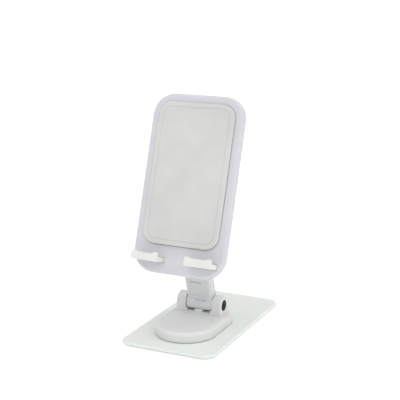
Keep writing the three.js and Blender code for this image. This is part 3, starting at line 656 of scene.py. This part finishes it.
def screw_tree():
    """Nodes that set one screw on every point of a mesh, its head's face on the point."""
    tree = bpy.data.node_groups.new("cross_recess_screws", "GeometryNodeTree")
    tree.interface.new_socket("Places", in_out="INPUT", socket_type="NodeSocketGeometry")
    for label in ("Head radius", "Shank radius", "Head height", "Length"):
        tree.interface.new_socket(label, in_out="INPUT", socket_type="NodeSocketFloat")
    tree.interface.new_socket("Turn", in_out="INPUT", socket_type="NodeSocketVector")
    tree.interface.new_socket("Finish", in_out="INPUT", socket_type="NodeSocketMaterial")
    tree.interface.new_socket("Screws", in_out="OUTPUT", socket_type="NodeSocketGeometry")
    nodes = tree.nodes
    links = tree.links
    given = nodes.new("NodeGroupInput")

    def sum_of(how, first, second):
        """The result of one sum on two sizes."""
        node = nodes.new("ShaderNodeMath")
        node.operation = how
        for socket, value in zip(node.inputs, (first, second)):
            if isinstance(value, (int, float)):
                socket.default_value = value
            else:
                links.new(value, socket)
        return node.outputs[0]

    def tapered(bottom, top, height, drop):
        """A cone between two radii, its foot dropped below the point."""
        cone = nodes.new("GeometryNodeMeshCone")
        cone.inputs["Vertices"].default_value = 32
        links.new(bottom, cone.inputs["Radius Bottom"])
        links.new(top, cone.inputs["Radius Top"])
        links.new(height, cone.inputs["Depth"])
        shift = nodes.new("ShaderNodeCombineXYZ")
        links.new(drop, shift.inputs["Z"])
        moved = nodes.new("GeometryNodeTransform")
        links.new(cone.outputs["Mesh"], moved.inputs["Geometry"])
        links.new(shift.outputs["Vector"], moved.inputs["Translation"])
        return moved.outputs["Geometry"]

    head_radius = given.outputs["Head radius"]
    shank_radius = given.outputs["Shank radius"]
    head_height = given.outputs["Head height"]
    head_drop = sum_of("MULTIPLY", head_height, -1)
    head = tapered(shank_radius, head_radius, head_height, head_drop)
    shank_length = sum_of("SUBTRACT", given.outputs["Length"], sum_of("MULTIPLY", head_height, 0.9))
    shank_drop = sum_of("MULTIPLY", given.outputs["Length"], -1)
    point_radius = sum_of("MULTIPLY", shank_radius, 0.55)
    shank = tapered(point_radius, sum_of("MULTIPLY", shank_radius, 0.97), shank_length, shank_drop)
    cross = nodes.new("GeometryNodeMeshBoolean")
    cross.operation = "DIFFERENCE"
    cross.solver = "EXACT"
    links.new(head, cross.inputs["Mesh 1"])
    for long_side in ("X", "Y"):
        size = nodes.new("ShaderNodeCombineXYZ")
        for axis in "XYZ":
            share = 1.15 if axis == long_side else 0.22
            across_blade = sum_of("MULTIPLY", head_radius, 0.5 if axis == "Z" else share)
            links.new(across_blade, size.inputs[axis])
        blade = nodes.new("GeometryNodeMeshCube")
        links.new(size.outputs["Vector"], blade.inputs["Size"])
        links.new(blade.outputs["Mesh"], cross.inputs["Mesh 2"])
    whole = nodes.new("GeometryNodeJoinGeometry")
    links.new(cross.outputs["Mesh"], whole.inputs["Geometry"])
    links.new(shank, whole.inputs["Geometry"])
    turn = nodes.new("FunctionNodeEulerToRotation")
    links.new(given.outputs["Turn"], turn.inputs["Euler"])
    set_down = nodes.new("GeometryNodeInstanceOnPoints")
    links.new(given.outputs["Places"], set_down.inputs["Points"])
    links.new(whole.outputs["Geometry"], set_down.inputs["Instance"])
    links.new(turn.outputs["Rotation"], set_down.inputs["Rotation"])
    real = nodes.new("GeometryNodeRealizeInstances")
    links.new(set_down.outputs["Instances"], real.inputs["Geometry"])
    coated = nodes.new("GeometryNodeSetMaterial")
    links.new(real.outputs["Geometry"], coated.inputs["Geometry"])
    links.new(given.outputs["Finish"], coated.inputs["Material"])
    out = nodes.new("NodeGroupOutput")
    links.new(coated.outputs["Geometry"], out.inputs["Screws"])
    return tree


screws = screw_tree()
inputs = [item for item in screws.interface.items_tree if item.in_out == "INPUT"]
sockets = {item.name: item.identifier for item in inputs}
lie_back = Matrix.Rotation(math.radians(-90), 4, "X").to_quaternion()
towards_back = cradle_place.to_quaternion() @ lie_back
towards_arm_back = arm_place.to_quaternion() @ lie_back
downwards = Matrix.Rotation(math.radians(180), 4, "X").to_quaternion()
screw_groups = [
    ("shell_screw", 4, cradle_place, 1, "cradle", towards_back, 2.3, 1.25, 4.45),
    ("bracket_screw", 4, cradle_place, 1, "cradle", towards_back, 2.8, 1.5, 6.05),
    ("arm_screw", 2, arm_place, 1, "arm", towards_arm_back, 2.3, 1.25, 6.3),
    ("rotor_screw", 3, STAND, 2, "pedestal", downwards, 2.3, 1.25, 4.65),
]
for node, count, place, axis, body, turn, head_radius, shank_radius, length in screw_groups:
    name = f"{node}s"
    nodes = [f"{node}_{index + 1}" for index in range(count)]
    points = []
    for part in nodes:
        low, high = extent(part, place)
        point = [(low[i] + high[i]) / 2000 for i in range(3)]
        point[axis] = (low[2] if body == "pedestal" else high[axis]) / 1000
        points.append(place @ Vector(point))
    mesh = bpy.data.meshes.new(name)
    mesh.from_pydata(points, [], [])
    group = bpy.data.objects.new(name, mesh)
    bpy.context.scene.collection.objects.link(group)
    step = group.modifiers.new("screws", "NODES")
    step.node_group = screws
    step[sockets["Head radius"]] = head_radius / 1000
    step[sockets["Shank radius"]] = shank_radius / 1000
    step[sockets["Head height"]] = 0.0011
    step[sockets["Length"]] = length / 1000
    step[sockets["Turn"]] = tuple(turn.to_euler())
    step[sockets["Finish"]] = zinc_plate
    settle(group)
    finished(group, 0, zinc_plate, body, "zinc_steel", *nodes)

# ---- Studio ----
# A plain white paper floor that glows a little, one broad lamp overhead, one at the right and a
# soft fill from all round. The camera is a little above the stand and to its front right.

half_floor = 40
corners = [(-1, -1), (1, -1), (1, 1), (-1, 1)]
corners = [(x * half_floor, y * half_floor, 0) for x, y in corners]
sweep = bpy.data.meshes.new("paper_sweep")
sweep.from_pydata(corners, [], [(0, 1, 2, 3)])
paper = bpy.data.objects.new("paper_sweep", sweep)
bpy.context.scene.collection.objects.link(paper)
lit_paper = surface(
    "lit_paper", (0.935, 0.935, 0.935), (0.93, 0.93, 0.93), 600, (0.9, 0.95), 3, 0.01
)
glow = lit_paper.node_tree.nodes["Principled BSDF"]
glow.inputs["Emission Color"].default_value = (1, 1, 1, 1)
glow.inputs["Emission Strength"].default_value = 0.15
sweep.materials.append(lit_paper)


def lamp(kind, name, power, spread, place):
    """A sun of an angular width, or a square lamp of a size, that faces the stand."""
    light = bpy.data.lights.new(name, kind)
    light.energy = power
    setattr(light, "angle" if kind == "SUN" else "size", spread)
    lit = bpy.data.objects.new(name, light)
    lit.location = place
    lit.rotation_euler = Vector(place).to_track_quat("Z", "Y").to_euler()
    bpy.context.scene.collection.objects.link(lit)


lamp("SUN", "overhead_lamp", 2.2, math.radians(110), (0.15, -0.25, 1.6))
lamp("AREA", "right_lamp", 1.2, 0.9, (1.1, -0.1, 0.55))
world = bpy.data.worlds.new("fill")
world.use_nodes = True
sky = world.node_tree
height = sky.nodes.new("ShaderNodeSeparateXYZ")
level = sky.nodes.new("ShaderNodeMapRange")
level.inputs["From Min"].default_value = 0.06
level.inputs["From Max"].default_value = 0.24
level.inputs["To Min"].default_value = 1
level.inputs["To Max"].default_value = 0.36
sky.links.new(sky.nodes.new("ShaderNodeTexCoord").outputs["Generated"], height.inputs["Vector"])
sky.links.new(height.outputs["Z"], level.inputs["Value"])
sky.links.new(level.outputs["Result"], sky.nodes["Background"].inputs["Strength"])
sky.nodes["Background"].inputs["Color"].default_value = (1, 1, 1, 1)
bpy.context.scene.world = world
bpy.context.scene.view_settings.view_transform = "Standard"

view = bpy.data.cameras.new("camera")
view.lens = 91.7
view.sensor_width = 36
view.clip_start = 0.05
view.clip_end = 30
camera = bpy.data.objects.new("camera", view)
camera.location = (0.3018, -0.644, 0.2692)
camera.rotation_euler = (math.radians(90 - 13.86), 0, math.radians(25.29))
bpy.context.scene.collection.objects.link(camera)
bpy.context.scene.camera = camera
